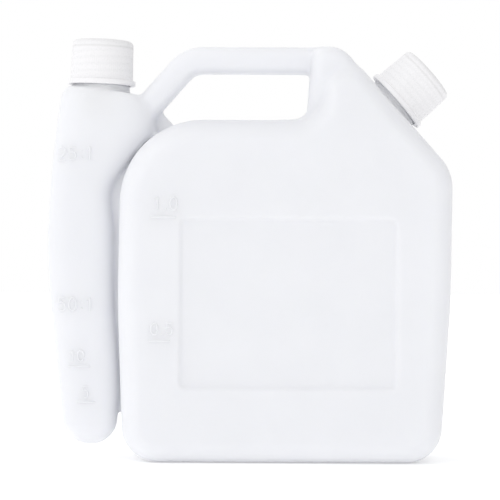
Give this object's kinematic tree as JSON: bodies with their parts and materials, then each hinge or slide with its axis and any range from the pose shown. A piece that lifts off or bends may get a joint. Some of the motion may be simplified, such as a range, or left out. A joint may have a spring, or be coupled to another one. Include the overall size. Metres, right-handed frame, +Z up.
{
  "type": "fuel mixing bottle",
  "caption": "Blow-moulded fuel mixing bottle: a flat-sided tank with a slanted shoulder, a slim graduated oil tube beside it, a carrying handle over both and a screw cap on each neck.",
  "frame": {"origin": "on the flat underside of the tank that the bottle stands on, below the middle of the bottle's width and on its parting plane", "axes": "+Z up, +X from the oil tube towards the petrol cap, -Y towards the front with the recessed panel and the raised marks"},
  "size_m": [0.192, 0.0624, 0.2005],
  "materials": {
    "natural_polyethylene": "satin, milky and slightly translucent",
    "natural_polypropylene": "semi-gloss, milky and slightly translucent",
    "foam_liner": "matt"
  },
  "bodies": {
    "bottle": {"bottle_body": "natural_polyethylene"},
    "petrol_liner": {"petrol_cap_liner": "foam_liner"},
    "petrol_screw_cap": {"petrol_cap": "natural_polypropylene"},
    "oil_liner": {"oil_cap_liner": "foam_liner"},
    "oil_screw_cap": {"oil_cap": "natural_polypropylene"}
  },
  "joints": [
    {"name": "petrol_cap_rise", "type": "slide", "parent": "bottle", "child": "petrol_liner", "axis": [0.7501, 0, 0.6613], "range_m": [0, 0.0256]},
    {"name": "petrol_cap_turn", "type": "hinge", "parent": "petrol_liner", "child": "petrol_screw_cap", "pos_m": [0.06998, 0, 0.17114], "axis": [0.7501, 0, 0.6613], "range_deg": [0, 2880]},
    {"name": "oil_cap_rise", "type": "slide", "parent": "bottle", "child": "oil_liner", "axis": [0.0349, 0, 0.9994], "range_m": [0, 0.0256]},
    {"name": "oil_cap_turn", "type": "hinge", "parent": "oil_liner", "child": "oil_screw_cap", "pos_m": [-0.07098, 0, 0.1786], "axis": [0.0349, 0, 0.9994], "range_deg": [0, 2880]}
  ],
  "couplings": [
    {"joint": "petrol_cap_rise", "follows": "petrol_cap_turn", "m_per_rad": 0.0005092},
    {"joint": "oil_cap_rise", "follows": "oil_cap_turn", "m_per_rad": 0.0005092}
  ]
}
